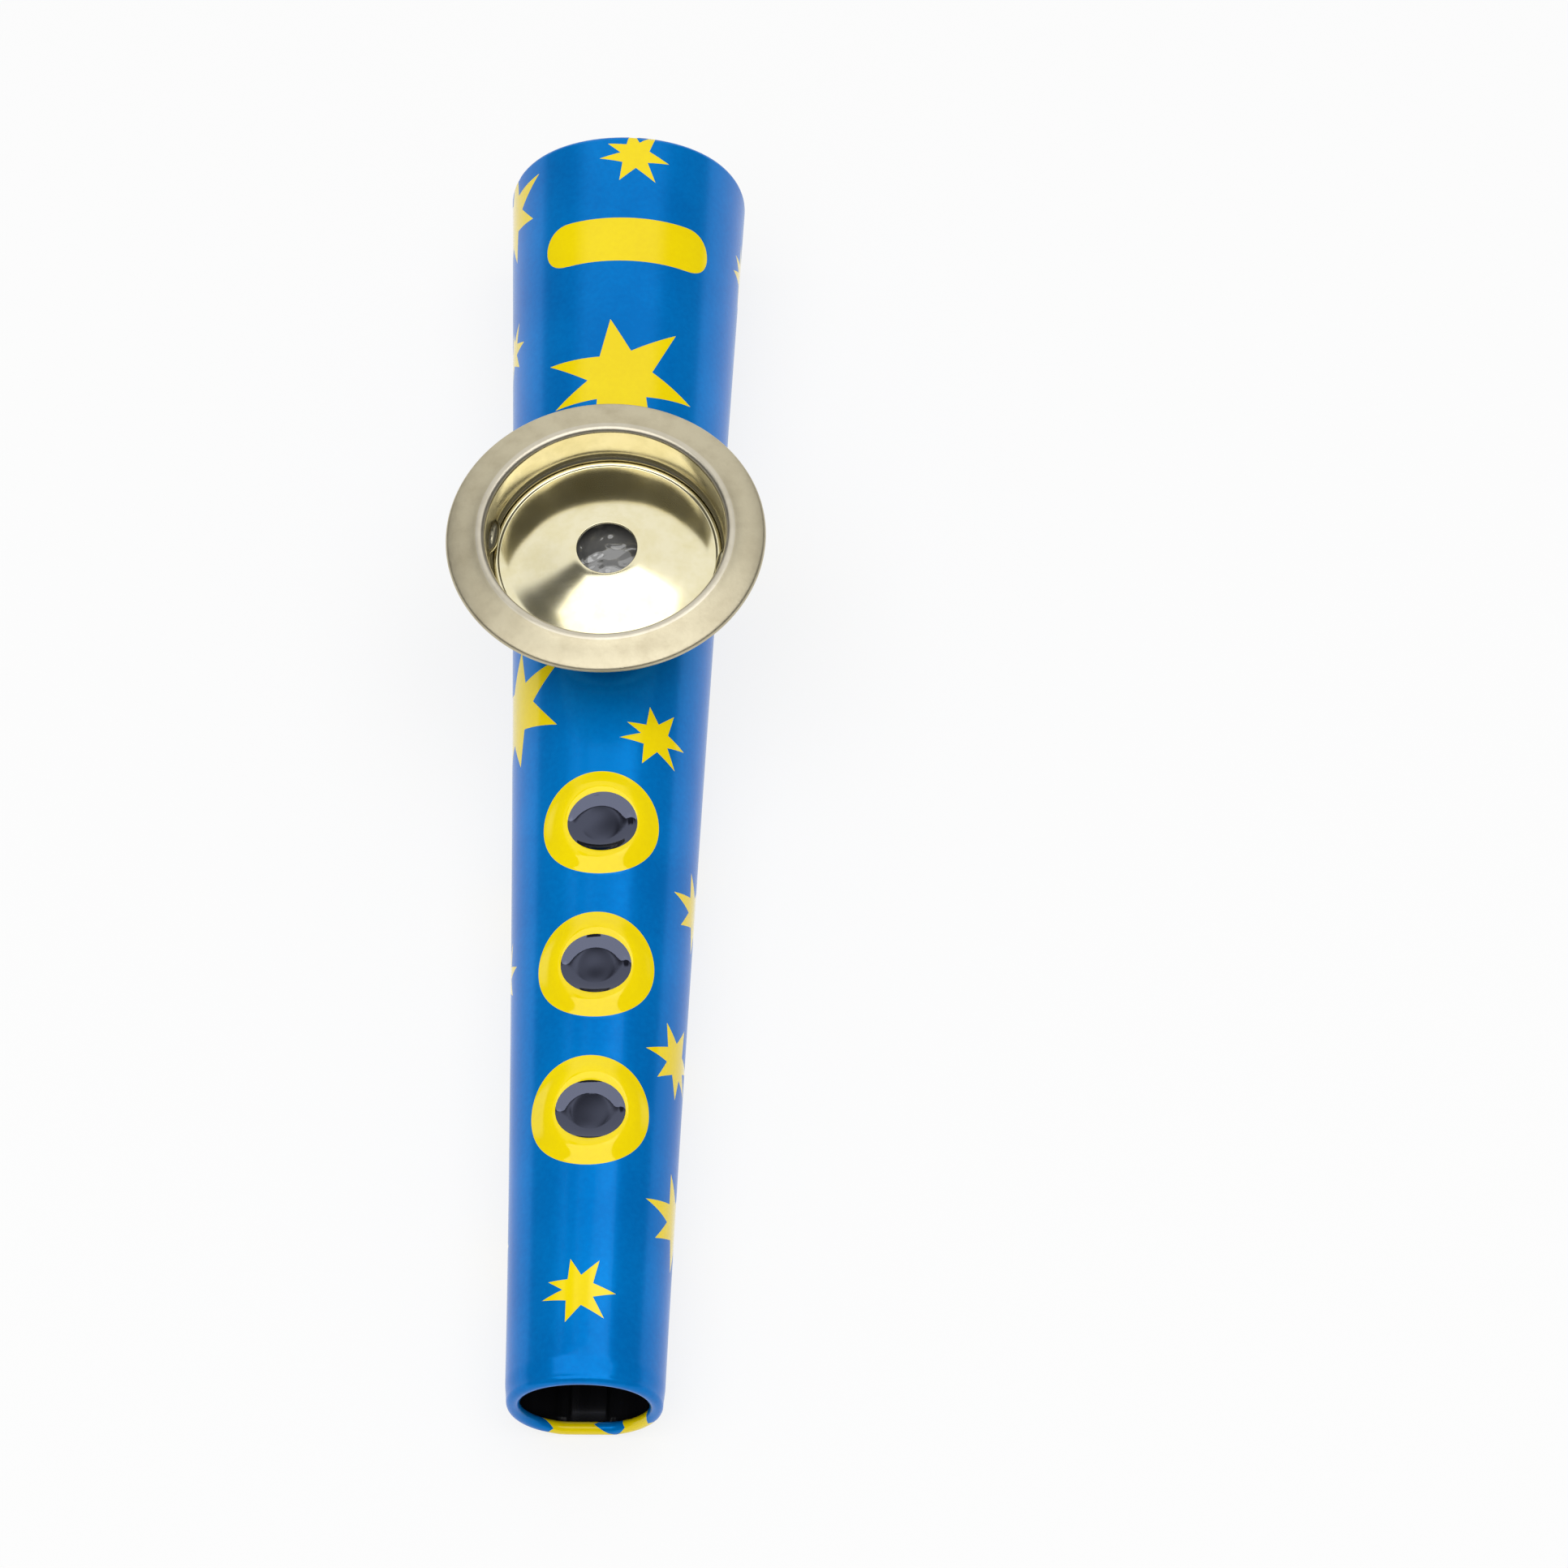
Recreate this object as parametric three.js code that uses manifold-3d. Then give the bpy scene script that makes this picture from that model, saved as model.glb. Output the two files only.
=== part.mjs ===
// A tinplate kazoo: a tapered printed tube with a pressed cup on top, which holds the buzzing
// membrane under a domed disc. Millimetres, +Z up, +Y towards the wide mouth end, and the
// origin on the surface that the tube lies on, below the middle of its length.
import * as THREE from "three";
import { mergeVertices } from "three/addons/utils/BufferGeometryUtils.js";
import Module from "manifold-3d";

const wasm = await Module();
wasm.setup();

// The rolled tube
const tubeLength = 140;
const mouthWidth = 25.4;
const mouthHeight = 23.6;
const exitWidth = 15.2;
const exitHeight = 14.2;
const widthTaper = 1.19;
const heightTaper = 1.4;
const sectionPower = 2.1;
const flatShare = 0.05;
const tubeSheet = 0.35;
const rimRadius = 0.65;
const exitNeckDepth = 0.45;
const exitNeckLength = 4.5;

// The lock seam that joins the sheet's two edges, folded flat inside along the underside
const seamWidth = 3.6;
const seamThickness = 0.5;

// The finger dimples, pressed into the crown of the tube
const dimpleCount = 3;
const dimplePitch = 15.5;
const firstDimpleFromCup = 28.4;
const dimpleRingDiameter = 11.3;
const dimpleDishDiameter = 6.8;
const dimpleRingHeight = 0.4;
const dimpleDishDepth = 0.5;

// The neck drawn up out of the tube, flared over the cup's floor
const cupFromMouth = 52.85;
const neckBore = 13.2;
const neckSheet = 0.35;
const flareReach = 1.1;
const flareThickness = 0.25;

// The cup
const cupSheet = 0.35;
const floorFlatDiameter = 21.7;
const cupBoreDiameter = 24.1;
const cupDepth = 6.76;
const lipDiameter = 25.6;
const lipRadius = 0.5;
const stepHeight = 4.1;
const stepDepth = 0.12;
const flangeDiameter = 32.4;
const flangeDrop = 1.2;
const flangeEdgeRadius = 0.55;

// The two stakes pressed into the cup's wall above the disc, turned a little from square
const stakeLength = 3.4;
const stakeHeight = 1.2;
const stakeReach = 0.75;
const stakeTurn = -8;

// The gasket, the membrane and the disc that holds them down
const gasketThickness = 0.5;
const membraneDiameter = 22.0;
const membraneThickness = 0.1;
const discDiameter = 23.3;
const discSheet = 0.3;
const discRise = 1.6;
const discRimHeight = 0.55;
const discRimWidth = 0.7;
const discSeatWidth = 2.0;
const soundHoleDiameter = 6.1;

// Clearances
const seatClearance = 0.15;
const fitClearance = 0.3;
const membraneClearance = 0.25;

// How finely the round forms are divided
const turnSteps = 48;
const crownSpread = 42;
const crownSteps = 16;
const sideSteps = 16;
const dimpleRowStep = 0.95;
const plainRows = 4;
const rimSteps = 6;

const degrees = Math.PI / 180;
const cupY = tubeLength / 2 - cupFromMouth;

// Solids and meshes

function solidFrom(geometry) {
  const bare = geometry.clone();
  bare.deleteAttribute("normal");
  bare.deleteAttribute("uv");
  const merged = mergeVertices(bare, 1e-4);
  const corners = merged.index.array;
  const triVerts = [];
  for (let i = 0; i < corners.length; i += 3) {
    const [a, b, c] = [corners[i], corners[i + 1], corners[i + 2]];
    if (a !== b && b !== c && c !== a) {
      triVerts.push(a, b, c);
    }
  }
  const vertProperties = new Float32Array(merged.attributes.position.array);
  const mesh = new wasm.Mesh({ numProp: 3, vertProperties, triVerts: new Uint32Array(triVerts) });
  return new wasm.Manifold(mesh);
}

function geometryFrom(solid) {
  const { vertProperties, triVerts } = solid.getMesh();
  const geometry = new THREE.BufferGeometry();
  geometry.setAttribute("position", new THREE.BufferAttribute(vertProperties, 3));
  geometry.setIndex(new THREE.BufferAttribute(triVerts, 1));
  geometry.computeVertexNormals();
  return geometry;
}

// Turns a closed outline of [radius, height] points about a vertical axis through the cup's centre.
function turned(outline) {
  const points = [...outline, outline[0]].map(([radius, height]) => new THREE.Vector2(radius, height));
  const geometry = new THREE.LatheGeometry(points, turnSteps);
  geometry.rotateX(Math.PI / 2);
  geometry.translate(0, cupY, 0);
  return solidFrom(geometry);
}

function ring(inner, outer, low, high) {
  return turned([[inner, low], [outer, low], [outer, high], [inner, high]]);
}

// Faces between two rings of a grid of points, with the quads' diagonals turned by turns
function band(low, high, columns) {
  const faces = [];
  for (let j = 0; j < columns; j += 1) {
    const beside = (j + 1) % columns;
    const [a, b] = [low * columns + j, high * columns + j];
    const [c, d] = [high * columns + beside, low * columns + beside];
    faces.push(...((low + j) % 2 ? [a, b, c, a, c, d] : [a, b, d, b, c, d]));
  }
  return faces;
}

function gridSolid(rows, faces) {
  const geometry = new THREE.BufferGeometry().setFromPoints(rows.flat());
  geometry.setIndex(faces);
  return solidFrom(geometry);
}

// A grid of points whose rows and columns both close on themselves, as one skin
function closedGrid(rows) {
  const faces = rows.flatMap((_, i) => band(i, (i + 1) % rows.length, rows[0].length));
  return gridSolid(rows, faces);
}

// A grid of rings with a flat cap on its first and last ring
function cappedGrid(rows) {
  const columns = rows[0].length;
  const last = (rows.length - 1) * columns;
  const faces = rows.slice(1).flatMap((_, i) => band(i, i + 1, columns));
  for (let j = 1; j + 1 < columns; j += 1) {
    faces.push(0, j, j + 1, last, last + j + 1, last + j);
  }
  return gridSolid(rows, faces);
}

// Outlines in the radius and height plane

function arc(centre, radius, from, to, steps) {
  return Array.from({ length: steps + 1 }, (_, i) => {
    const angle = (from + ((to - from) * i) / steps) * degrees;
    return [centre[0] + radius * Math.cos(angle), centre[1] + radius * Math.sin(angle)];
  });
}

// Gives a path a thickness on its right-hand side, as a closed outline.
function thickened(path, thickness) {
  const side = path.map((point, i) => {
    const before = path[Math.max(i - 1, 0)];
    const after = path[Math.min(i + 1, path.length - 1)];
    const [run, rise] = [after[0] - before[0], after[1] - before[1]];
    const length = Math.hypot(run, rise);
    return [point[0] + (rise / length) * thickness, point[1] - (run / length) * thickness];
  });
  return [...side, ...path.reverse()];
}

// The tube's skin

function section(y) {
  const share = Math.max(y / tubeLength + 0.5, 0);
  const width = exitWidth + (mouthWidth - exitWidth) * share ** widthTaper;
  const height = exitHeight + (mouthHeight - exitHeight) * share ** heightTaper;
  return { across: width / 2, up: height / (2 - flatShare), height };
}

const crownHeight = (y) => section(y).height;

// How far the tube draws in over its last millimetres at the exit end
function neckIn(y) {
  const share = Math.min(Math.max(1 - (y + tubeLength / 2) / exitNeckLength, 0), 1);
  return exitNeckDepth * (1 - Math.sqrt(1 - share * share));
}

const dimples = Array.from({ length: dimpleCount }, (_, i) => cupY - firstDimpleFromCup - i * dimplePitch);

// The height that a finger dimple adds: a raised ring round a dished middle
function embossed(x, y) {
  const [ringRadius, dishRadius] = [dimpleRingDiameter / 2, dimpleDishDiameter / 2];
  const reach = Math.min(...dimples.map((centre) => Math.hypot(x, y - centre)));
  if (reach >= ringRadius) {
    return 0;
  }
  if (reach <= dishRadius) {
    return -dimpleDishDepth * Math.cos((Math.PI / 2) * (reach / dishRadius)) ** 2;
  }
  return dimpleRingHeight * Math.sin(Math.PI * ((reach - dishRadius) / (ringRadius - dishRadius))) ** 2;
}

function skinPoint(y, inset, angle) {
  const { across, up } = section(y);
  const depth = inset + neckIn(y);
  const [cos, sin] = [Math.cos(angle), Math.sin(angle)];
  const x = (across - depth) * Math.sign(cos) * Math.abs(cos) ** (2 / sectionPower);
  const rise = (up - depth) * Math.sign(sin) * Math.abs(sin) ** (2 / sectionPower);
  const floor = up * (1 - flatShare);
  const z = floor + Math.max(rise, depth - floor);
  return new THREE.Vector3(x, y, sin > 0 ? z + embossed(x, y) : z);
}

// Angles round the section, close together over the crown
function turnAngles() {
  const angles = [];
  for (let i = 0; i < crownSteps; i += 1) {
    angles.push(90 - crownSpread + (2 * crownSpread * i) / crownSteps);
  }
  for (let i = 0; i < sideSteps; i += 1) {
    angles.push(90 + crownSpread + ((360 - 2 * crownSpread) * i) / sideSteps);
  }
  return angles.map((angle) => angle * degrees);
}

function evenly(from, to, steps) {
  return Array.from({ length: steps }, (_, i) => from + ((to - from) * i) / steps);
}

// Places along the tube from the exit to the mouth, close together over the dimples
function rowPlaces() {
  const [start, end] = [-tubeLength / 2 + rimRadius, tubeLength / 2 - rimRadius];
  const first = Math.max(dimples[dimples.length - 1] - dimpleRingDiameter / 2, start + 2 * exitNeckLength);
  const last = dimples[0] + dimpleRingDiameter / 2;
  const fineRows = Math.round((last - first) / dimpleRowStep);
  return [
    ...evenly(start, start + exitNeckLength, plainRows),
    ...evenly(start + exitNeckLength, first, plainRows),
    ...evenly(first, last, fineRows),
    ...evenly(last, end, 2 * plainRows),
    end,
  ];
}

// The rim's rolled edge, from the outer face round to the inner one, as [place, inset] steps
function rolledRim(place, outward) {
  const back = Math.acos((rimRadius - tubeSheet) / rimRadius) / degrees;
  const steps = arc([0, rimRadius], rimRadius, -90, 90 + back, rimSteps + 2).slice(1, -1);
  return steps.map(([along, inset]) => [place + outward * along, inset]);
}

// The tube without its neck: one skin that runs out over the sheet and back inside it
function rolledTube() {
  const angles = turnAngles();
  const places = rowPlaces();
  const outer = places.map((y) => angles.map((angle) => skinPoint(y, 0, angle)));
  const inner = places.map((y) => angles.map((angle) => skinPoint(y, tubeSheet, angle)));
  const rimRow = ([y, inset]) => angles.map((angle) => skinPoint(y, inset, angle));
  const mouthRim = rolledRim(places[places.length - 1], 1).map(rimRow);
  const exitRim = rolledRim(places[0], -1).map(rimRow);
  const innerShown = inner.slice(1, -1);
  return closedGrid([...outer, ...mouthRim, ...innerShown.reverse(), ...exitRim.reverse()]);
}

// The space inside the tube's sheet, a little larger so that the neck's root joins the sheet
function tubeSpace() {
  const angles = turnAngles();
  return cappedGrid(rowPlaces().map((y) => angles.map((angle) => skinPoint(y, 0.9 * tubeSheet, angle))));
}

// The folded seam inside the underside, from rim to rim
function lockSeam() {
  const margin = 2 * rimRadius;
  const exitLift = skinPoint(-tubeLength / 2 + margin, tubeSheet, -Math.PI / 2).z;
  const length = tubeLength - 2 * margin - exitNeckLength;
  const strip = new THREE.BoxGeometry(seamWidth, length, seamThickness + exitLift - tubeSheet * 0.5);
  const middle = -tubeLength / 2 + margin + exitNeckLength + length / 2;
  strip.translate(0, middle, (seamThickness + exitLift + tubeSheet * 0.5) / 2);
  return solidFrom(strip);
}

// Heights of the stack inside the cup
const floorFlatRadius = floorFlatDiameter / 2;
const floorUnder = crownHeight(cupY + floorFlatRadius) + seatClearance;
const floorTop = floorUnder + cupSheet;
const gasketTop = floorTop + gasketThickness;
const membraneUnder = gasketTop + membraneClearance;
const discUnder = membraneUnder + membraneThickness + membraneClearance;
const discRimTop = discUnder + discRimHeight;
const lipTop = floorUnder + cupDepth;
const neckOuter = neckBore / 2 + neckSheet;

function bodyTube() {
  const middle = crownHeight(cupY) / 2;
  const collar = ring(neckBore / 2 - neckSheet, neckOuter, middle, floorTop + flareThickness);
  const flare = ring(neckBore / 2, neckOuter + flareReach, floorTop, floorTop + flareThickness);
  const neck = collar.subtract(tubeSpace()).add(flare);
  const bore = ring(0, neckBore / 2, middle, lipTop);
  return rolledTube().add(lockSeam()).add(neck).subtract(bore);
}

// A stake is a short lens-shaped dent, pushed in through the wall from outside.
function stake(side, grow) {
  const lens = new THREE.SphereGeometry(1, 12, 8);
  lens.scale(stakeReach + grow, stakeLength / 2 + grow, stakeHeight / 2 + grow);
  const height = discRimTop + fitClearance + stakeHeight / 2 + cupSheet;
  lens.translate(side * (cupBoreDiameter / 2 + cupSheet / 2), 0, height);
  lens.rotateZ(stakeTurn * degrees);
  lens.translate(0, cupY, 0);
  return solidFrom(lens);
}

function turretCup() {
  const wallRadius = cupBoreDiameter / 2;
  const cornerRadius = wallRadius - floorFlatRadius;
  const edgeCentre = [flangeDiameter / 2 - flangeEdgeRadius, lipTop - flangeDrop];
  const [run, drop] = [edgeCentre[0] - lipDiameter / 2, flangeDrop - flangeEdgeRadius];
  const edgeArch = (run * run + drop * drop) / (2 * drop);
  const arch = edgeArch + flangeEdgeRadius;
  const slope = Math.asin(run / edgeArch) / degrees;
  const path = [
    [neckOuter + seatClearance, floorTop],
    ...arc([floorFlatRadius, floorTop + cornerRadius], cornerRadius, -90, 0, 5),
    [wallRadius, floorTop + stepHeight - stepDepth],
    [wallRadius + stepDepth, floorTop + stepHeight],
    ...arc([lipDiameter / 2, lipTop - lipRadius], lipRadius, 180, 90, 3),
    ...arc([lipDiameter / 2, lipTop - arch], arch, 90, 90 - slope, 4).slice(1),
    ...arc(edgeCentre, flangeEdgeRadius, 90 - slope, -90, 4).slice(1),
  ];
  const cup = turned(thickened(path, cupSheet));
  const inside = ring(0, wallRadius + cupSheet / 2, floorTop, lipTop);
  const dents = [-1, 1].map((side) => stake(side, 0).intersect(inside));
  const hollows = [-1, 1].map((side) => stake(side, -0.6 * cupSheet));
  return cup.add(dents[0]).add(dents[1]).subtract(hollows[0]).subtract(hollows[1]);
}

function gasket() {
  const inner = neckOuter + flareReach + fitClearance;
  return ring(inner, floorFlatRadius - seatClearance, floorTop, gasketTop);
}

function membrane() {
  return ring(0, membraneDiameter / 2, membraneUnder, membraneUnder + membraneThickness);
}

function retainingDisc() {
  const [hole, rim] = [soundHoleDiameter / 2, discDiameter / 2];
  const top = discRimTop + discRise;
  const valley = [rim - discRimWidth, discRimTop - discRimHeight / 3];
  const [run, drop] = [valley[0], top - valley[1]];
  const dome = (run * run + drop * drop) / (2 * drop);
  const [from, to] = [Math.asin(hole / dome), Math.asin(run / dome)].map((angle) => 90 - angle / degrees);
  const domeArc = arc([0, top - dome], dome, from, to, 6);
  const bead = discRimWidth / 2;
  const beadArc = arc([rim - bead, discRimTop - bead], bead, 110, 0, 4);
  const seat = rim - discSeatWidth;
  const underside = domeArc.map(([radius, height]) => [radius, height - discSheet]).reverse();
  const outline = [
    ...domeArc,
    ...beadArc,
    [rim, discUnder],
    [seat, discUnder],
    ...underside.filter(([radius]) => radius < seat),
  ];
  return turned(outline.reverse());
}

const materials = {
  printedTin: new THREE.MeshStandardMaterial({ color: 0x0a74c4, roughness: 0.25, metalness: 0.1 }),
  satinTin: new THREE.MeshStandardMaterial({ color: 0xc9bd8e, roughness: 0.38, metalness: 1 }),
  brightTin: new THREE.MeshStandardMaterial({ color: 0xd8cc94, roughness: 0.16, metalness: 1 }),
  fibre: new THREE.MeshStandardMaterial({ color: 0x6e5a44, roughness: 0.9, metalness: 0 }),
  film: new THREE.MeshStandardMaterial({ color: 0x8c8a88, roughness: 0.12, metalness: 0 }),
};

const kazoo = new THREE.Group();

function place(name, solid, material) {
  const mesh = new THREE.Mesh(geometryFrom(solid), material);
  mesh.name = name;
  kazoo.add(mesh);
}

place("body_tube", bodyTube(), materials.printedTin);
place("turret_cup", turretCup(), materials.satinTin);
place("membrane_gasket", gasket(), materials.fibre);
place("membrane", membrane(), materials.film);
place("retaining_disc", retainingDisc(), materials.brightTin);

export default kazoo;
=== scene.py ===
import math

import bpy
import numpy as np
from mathutils import Matrix, Quaternion, Vector
from mathutils.geometry import delaunay_2d_cdt


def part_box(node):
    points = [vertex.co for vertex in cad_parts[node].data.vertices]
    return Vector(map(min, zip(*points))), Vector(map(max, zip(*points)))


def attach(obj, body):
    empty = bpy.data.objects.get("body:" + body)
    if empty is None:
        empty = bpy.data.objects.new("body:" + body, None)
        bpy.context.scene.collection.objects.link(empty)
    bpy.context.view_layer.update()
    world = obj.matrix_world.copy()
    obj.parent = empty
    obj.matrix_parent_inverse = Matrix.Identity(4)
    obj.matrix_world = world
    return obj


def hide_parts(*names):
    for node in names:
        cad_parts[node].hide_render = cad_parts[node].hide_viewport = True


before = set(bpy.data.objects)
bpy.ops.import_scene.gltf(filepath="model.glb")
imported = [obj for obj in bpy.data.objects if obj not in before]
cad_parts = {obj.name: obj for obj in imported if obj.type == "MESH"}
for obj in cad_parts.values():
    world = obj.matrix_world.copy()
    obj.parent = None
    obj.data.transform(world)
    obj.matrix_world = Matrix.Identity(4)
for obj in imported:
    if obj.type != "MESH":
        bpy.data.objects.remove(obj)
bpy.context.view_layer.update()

MM = 0.001
TAU = 2 * math.pi

# The rolled tube, in millimetres
TUBE_LENGTH = 140.0
MOUTH_WIDTH, MOUTH_HEIGHT = 25.4, 23.6
EXIT_WIDTH, EXIT_HEIGHT = 15.2, 14.2
WIDTH_TAPER, HEIGHT_TAPER = 1.19, 1.4
SQUARENESS = 0.0167
FLAT_SHARE, FLAT_CORNER = 0.05, 0.12
TUBE_SHEET = 0.35
RIM_RADIUS = 0.65
EXIT_NECK_DEPTH, EXIT_NECK_LENGTH = 0.4, 2.5
EXIT_NECK_BESIDE = 0.3
SEAM_WIDTH, SEAM_THICKNESS, SEAM_CORNER = 3.6, 0.5, 0.3
SEAM_GROOVE_DEPTH, SEAM_GROOVE_REACH = 0.12, 0.14
SEAM_FROM_RIM, SEAM_RUN_OUT = 0.3, 1.5

# The finger dimples
CUP_FROM_MOUTH = 52.85
CUP_Y = TUBE_LENGTH / 2 - CUP_FROM_MOUTH
FIRST_DIMPLE_FROM_CUP, DIMPLE_PITCH = 28.4, 15.5
DIMPLES = [CUP_Y - FIRST_DIMPLE_FROM_CUP - i * DIMPLE_PITCH for i in range(3)]
RING_RADIUS, CREST_RADIUS = 5.9, 3.85
RING_HEIGHT, RING_ROUNDNESS = 0.4, 1.1
# How steeply a dimple's dish rises, in degrees, at radii from its middle out to the ring's crest
DISH_RADII = [0.0, 1.2, 1.9, 2.1, 2.4, 2.75, 2.95, 3.1, 3.3, 3.6, CREST_RADIUS]
DISH_SLOPES = [0.0, 0.3, 1.2, 7.0, 18.0, 26.0, 29.0, 31.0, 26.0, 12.0, 0.0]
# How each dish's flat middle was pressed out of true: a twist, and a bump's height and place
DISH_FLAWS = [(0.02, 0.01, -0.8, 0.2), (0.0, 0.02, -0.1, -0.2), (-0.015, 0.01, -0.9, -0.8)]
BUMP_REACH = 1.15
# The dish's middle is pressed flat across the tube's curve, as far out as this reach
PAD_FLATNESS, PAD_REACH, PAD_SHARPNESS = 0.045, 2.4, 8
# A shallow dent in the crown at the exit: its x and y, its half width and half length, its depth
EXIT_DENT = (-1.5, -68.0, 1.8, 0.9, 0.06)

# The neck drawn up out of the tube, as radii, and the sheet of its flare and of the cup
NECK_BORE, NECK_OUTER, FLARE_OUTER, FLARE_THICKNESS = 6.6, 6.95, 8.05, 0.25
CUP_SHEET = 0.35


def box_mm(node):
    """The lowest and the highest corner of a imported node, in millimetres."""
    low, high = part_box(node)
    return np.array(low) / MM, np.array(high) / MM


# The cup and the stack inside it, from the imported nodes
CUP_LOW, CUP_HIGH = box_mm("turret_cup")
DISC_LOW, DISC_HIGH = box_mm("retaining_disc")
FILM_LOW, FILM_HIGH = box_mm("membrane")
GASKET_LOW, GASKET_HIGH = box_mm("membrane_gasket")
FLOOR_UNDER = CUP_LOW[2]
FLOOR_TOP = FLOOR_UNDER + CUP_SHEET
LIP_TOP = CUP_HIGH[2]
FLANGE_RADIUS = CUP_HIGH[0]


# The camera, fitted to the photograph's outlines, in the kazoo's own frame and in millimetres
LENS, SENSOR = 107.66, 36.0
CAMERA_PLACE = (29.39, -244.84, 420.35)
CAMERA_FORWARD = (-0.02387, 0.50813, -0.86095)
CAMERA_UP = (-0.00336, 0.86115, 0.50834)


def make_camera():
    """The photograph's camera."""
    data = bpy.data.cameras.new("camera")
    data.sensor_width, data.lens = SENSOR, LENS
    data.clip_start, data.clip_end = 0.01, 20.0
    camera = bpy.data.objects.new("camera", data)
    bpy.context.collection.objects.link(camera)
    forward = Vector(CAMERA_FORWARD).normalized()
    right = forward.cross(Vector(CAMERA_UP)).normalized()
    up = right.cross(forward)
    turn = Matrix((right, up, -forward)).transposed()
    camera.matrix_world = Matrix.Translation(Vector(CAMERA_PLACE) * MM) @ turn.to_4x4()
    bpy.context.scene.camera = camera


make_camera()


# Materials

def linear(code):
    """An sRGB hex colour as linear RGBA."""
    parts = [int(code[i:i + 2], 16) / 255 for i in (1, 3, 5)]
    return (*[c / 12.92 if c <= 0.04045 else ((c + 0.055) / 1.055) ** 2.4 for c in parts], 1.0)


def add(tree, kind, settings=(), links=()):
    """Adds a node, with values for its sockets or properties and links from other nodes' outputs."""
    node = tree.nodes.new(kind)
    for name, value in dict(settings).items():
        if isinstance(name, str) and hasattr(node, name):
            setattr(node, name, value)
        else:
            node.inputs[name].default_value = value
    for name, (source, output) in dict(links).items():
        tree.links.new(source.outputs[output], node.inputs[name])
    return node


def new_material(name):
    material = bpy.data.materials.new(name)
    material.use_nodes = True
    tree = material.node_tree
    tree.nodes.clear()
    return material, tree


def finish_material(tree, shader):
    add(tree, "ShaderNodeOutputMaterial", links={"Surface": (shader, 0)})


def pattern(size):
    """The scale that gives a noise features of this size in millimetres."""
    return 1 / (size * MM)


def enamel(name, light, dark, roughness, gloss_tint, index=1.5, varnish=0.0, shine=0.1, tin=0.0):
    """Lithographed enamel baked on tinplate: an even glossy ink with a faint mottle and a slight ripple.

    Where the ink is thin enough to see through, tin is the share of the bright metal that shines
    in the ink's own colour. The varnish over the ink adds white highlights, and shine is their
    roughness.
    """
    material, tree = new_material(name)
    place = add(tree, "ShaderNodeTexCoord")
    grain = add(tree, "ShaderNodeTexNoise", {"Scale": pattern(0.5), "Detail": 2.0},
                {"Vector": (place, "Object")})
    cloud = add(tree, "ShaderNodeTexNoise", {"Scale": pattern(14.0), "Detail": 3.0},
                {"Vector": (place, "Object")})
    blend = add(tree, "ShaderNodeMath", {"operation": "MULTIPLY_ADD", 1: 0.35},
                {0: (grain, "Fac"), 2: (cloud, "Fac")})
    spread = add(tree, "ShaderNodeMapRange", {"From Min": 0.5, "From Max": 0.85}, {"Value": (blend, 0)})
    ink = add(tree, "ShaderNodeMix", {"data_type": "RGBA", 6: linear(light), 7: linear(dark)},
              {0: (spread, 0)})
    ripple = add(tree, "ShaderNodeTexNoise", {"Scale": pattern(3.5), "Detail": 1.0},
                 {"Vector": (place, "Object")})
    bump = add(tree, "ShaderNodeBump", {"Strength": 0.15, "Distance": 0.05 * MM},
               {"Height": (ripple, "Fac")})
    gloss = add(tree, "ShaderNodeMapRange", {"To Min": roughness * 0.8, "To Max": roughness * 1.25},
                {"Value": (cloud, "Fac")})
    shader = add(tree, "ShaderNodeBsdfPrincipled",
                 {"IOR": index, "Specular Tint": linear(gloss_tint), "Metallic": tin,
                  "Coat Weight": varnish, "Coat Roughness": shine},
                 {"Base Color": (ink, 2), "Roughness": (gloss, 0), "Normal": (bump, 0)})
    finish_material(tree, shader)
    return material


def tinplate(name, colour, shade, roughness, grain, grain_sizes=(2.5, 0.16, 0.5)):
    """Pale gold lacquered tinplate: a metal with a fine grain, soft tarnish and small specks."""
    material, tree = new_material(name)
    place = add(tree, "ShaderNodeTexCoord")
    rolled = add(tree, "ShaderNodeMapping", {"Scale": [pattern(size) for size in grain_sizes]},
                 {"Vector": (place, "Object")})
    lines = add(tree, "ShaderNodeTexNoise", {"Scale": 1.0, "Detail": 3.0}, {"Vector": (rolled, 0)})
    cloud = add(tree, "ShaderNodeTexNoise", {"Scale": pattern(2.6), "Detail": 4.0, "Roughness": 0.6},
                {"Vector": (place, "Object")})
    specks = add(tree, "ShaderNodeTexNoise", {"Scale": pattern(0.22), "Detail": 2.0},
                 {"Vector": (place, "Object")})
    tarnish = add(tree, "ShaderNodeMapRange", {"From Min": 0.42, "From Max": 0.75},
                  {"Value": (cloud, "Fac")})
    spots = add(tree, "ShaderNodeMapRange", {"From Min": 0.7, "From Max": 0.76, "To Max": 0.4},
                {"Value": (specks, "Fac")})
    dull = add(tree, "ShaderNodeMath", {"operation": "MAXIMUM"}, {0: (tarnish, 0), 1: (spots, 0)})
    tint = add(tree, "ShaderNodeMix", {"data_type": "RGBA", 6: linear(colour), 7: linear(shade)},
               {0: (dull, 0)})
    worn = add(tree, "ShaderNodeMapRange",
               {"From Min": 0.3, "From Max": 0.7, "To Min": roughness * 0.93, "To Max": roughness * 1.07},
               {"Value": (lines, "Fac")})
    bump = add(tree, "ShaderNodeBump", {"Strength": grain, "Distance": 0.012 * MM},
               {"Height": (lines, "Fac")})
    shader = add(tree, "ShaderNodeBsdfPrincipled", {"Metallic": 1.0},
                 {"Base Color": (tint, 2), "Roughness": (worn, 0), "Normal": (bump, 0)})
    finish_material(tree, shader)
    return material


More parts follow.
